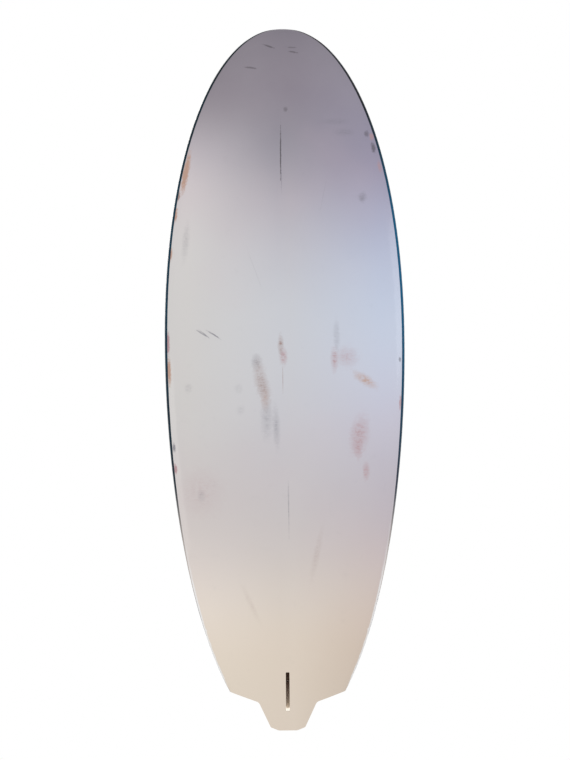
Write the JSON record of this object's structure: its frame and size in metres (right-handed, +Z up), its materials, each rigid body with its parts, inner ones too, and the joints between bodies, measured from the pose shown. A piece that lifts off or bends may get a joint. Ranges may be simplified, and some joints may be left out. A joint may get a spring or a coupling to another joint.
{
  "type": "stand up paddleboard",
  "caption": "Hard surf-style stand up paddleboard with a winged tail, fin slot, deck pad, carry handle, leash cup and vent.",
  "frame": {"origin": "middle of the board's plan, at the lowest point of the bottom's rocker", "axes": "+X to the nose, +Y to the left of a rider who faces the nose, +Z up out of the deck"},
  "size_m": [2.59, 0.8744, 0.1639],
  "materials": {
    "bottom_gloss": "polished lacquer",
    "deck_gloss": "polished lacquer",
    "core_foam": "beaded foam",
    "dense_foam": "cut foam",
    "plywood": "sanded",
    "white_plastic": "moulded",
    "black_plastic": "moulded",
    "stainless": "brushed",
    "brass": "turned",
    "seal_rubber": "matte",
    "grip_rubber": "soft matte",
    "pad_grey": "grooved foam",
    "pad_dark": "grooved foam"
  },
  "bodies": {
    "board": {"bottom_skin": "bottom_gloss", "deck_skin": "deck_gloss", "core_left": "core_foam", "core_right": "core_foam", "stringer": "plywood", "standing_panel": "plywood", "tail_block": "dense_foam", "fin_box": "white_plastic", "fin_bolt_sleeve": "white_plastic", "leash_cup": "black_plastic", "leash_bar": "stainless", "vent_body": "black_plastic", "vent_block": "dense_foam", "handle_cup": "black_plastic", "handle_grip": "grip_rubber", "handle_block": "dense_foam", "deck_pad_center": "pad_dark", "deck_pad_left": "pad_grey", "deck_pad_right": "pad_grey", "tail_pad": "pad_dark", "tail_kick": "pad_dark"},
    "vent_carriage": {"vent_seal": "seal_rubber"},
    "vent_plug": {"vent_screw": "brass"}
  },
  "joints": [
    {"name": "vent_lift", "type": "slide", "parent": "board", "child": "vent_carriage", "axis": [0, 0, 1], "range_m": [0, 0.01]},
    {"name": "vent_turn", "type": "hinge", "parent": "vent_carriage", "child": "vent_plug", "pos_m": [0.56, 0, 0.12235], "axis": [0, 0, 1], "range_deg": [0, 2880]}
  ],
  "couplings": [
    {"joint": "vent_turn", "follows": "vent_lift", "rad_per_m": 5026.5}
  ]
}
